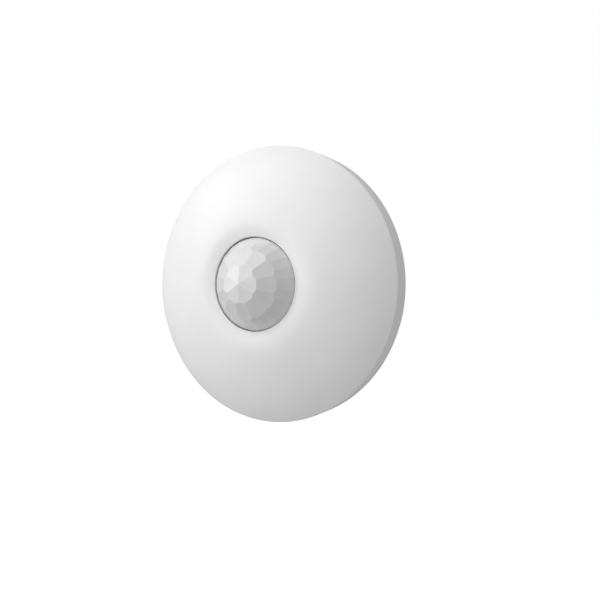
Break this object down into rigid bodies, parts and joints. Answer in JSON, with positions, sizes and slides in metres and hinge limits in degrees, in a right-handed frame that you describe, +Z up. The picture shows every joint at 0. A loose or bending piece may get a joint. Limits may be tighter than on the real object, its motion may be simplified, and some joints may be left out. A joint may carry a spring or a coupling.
{
  "type": "passive infrared motion sensor",
  "caption": "Round 360 degree passive infrared motion sensor: faceted dome lens in a twist-off domed cover, on a round mounting base with board, battery and wall tamper.",
  "frame": {"origin": "centre of the flat back of the mounting base, on the wall or ceiling plane", "axes": "-Y is the lens axis, out of the lens and away from the mounting surface; +Y points into the surface; +Z is up in the pictured pose and +X is to the right as seen from the front"},
  "size_m": [0.11, 0.0369, 0.11],
  "materials": {
    "cover_shell": "fine satin",
    "base_shell": "fine satin",
    "lens": "translucent satin",
    "retainer": "moulded",
    "board": "solder mask",
    "screws": "zinc plated",
    "collar": "foam",
    "can": "plated",
    "window": "polished",
    "leads": "gold plated",
    "cell": "shrink sleeve",
    "holder": "moulded",
    "contacts": "nickel plated",
    "spring_wire": "drawn wire",
    "switches": "moulded",
    "plunger": "moulded",
    "buttons": "moulded",
    "trimmer": "moulded",
    "trimmer_rotor": "moulded",
    "shield": "tinned",
    "antenna": "plated",
    "chips": "moulded epoxy",
    "capacitors": "sleeved",
    "led": "clear epoxy"
  },
  "bodies": {
    "base": {"amplifier_chip": "chips", "antenna_coil": "antenna", "battery_cell": "cell", "battery_holder": "holder", "battery_plate": "contacts", "battery_spring": "contacts", "board_screw_1": "screws", "board_screw_2": "screws", "board_screw_3": "screws", "capacitor_1": "capacitors", "capacitor_2": "capacitors", "controller_chip": "chips", "crystal_can": "shield", "dip_switch": "switches", "enrol_switch": "switches", "main_board": "board", "mounting_base": "base_shell", "radio_shield": "shield", "range_trimmer": "trimmer", "sensor_can": "can", "sensor_collar": "collar", "sensor_lead_1": "leads", "sensor_lead_2": "leads", "sensor_lead_3": "leads", "sensor_window": "window", "status_led": "led", "tamper_spring": "spring_wire", "tamper_switch": "switches"},
    "cover": {"front_cover": "cover_shell", "lens": "lens", "lens_retainer": "retainer"},
    "plunger": {"tamper_plunger": "plunger"},
    "button": {"enrol_button": "buttons"},
    "slider_1": {"dip_slider_1": "buttons"},
    "slider_2": {"dip_slider_2": "buttons"},
    "rotor": {"trimmer_rotor": "trimmer_rotor"}
  },
  "joints": [
    {"name": "cover_turn", "type": "hinge", "parent": "base", "child": "cover", "pos_m": [0, 0, 0], "axis": [0, -1, 0], "range_deg": [0, 15]},
    {"name": "tamper_press", "type": "slide", "parent": "base", "child": "plunger", "axis": [0, -1, 0], "range_m": [0, 0.001], "stiffness_N_per_m": 300, "deforming": ["tamper_spring"]},
    {"name": "enrol_press", "type": "slide", "parent": "base", "child": "button", "axis": [0, 1, 0], "range_m": [0, 0.0003], "stiffness_N_per_m": 2000},
    {"name": "dip_1_slide", "type": "slide", "parent": "base", "child": "slider_1", "axis": [0, 0, 1], "range_m": [0, 0.0021]},
    {"name": "dip_2_slide", "type": "slide", "parent": "base", "child": "slider_2", "axis": [0, 0, 1], "range_m": [0, 0.0021]},
    {"name": "range_turn", "type": "hinge", "parent": "base", "child": "rotor", "pos_m": [0.0175, -0.0125, 0.0205], "axis": [0, -1, 0], "range_deg": [-120, 120]}
  ]
}
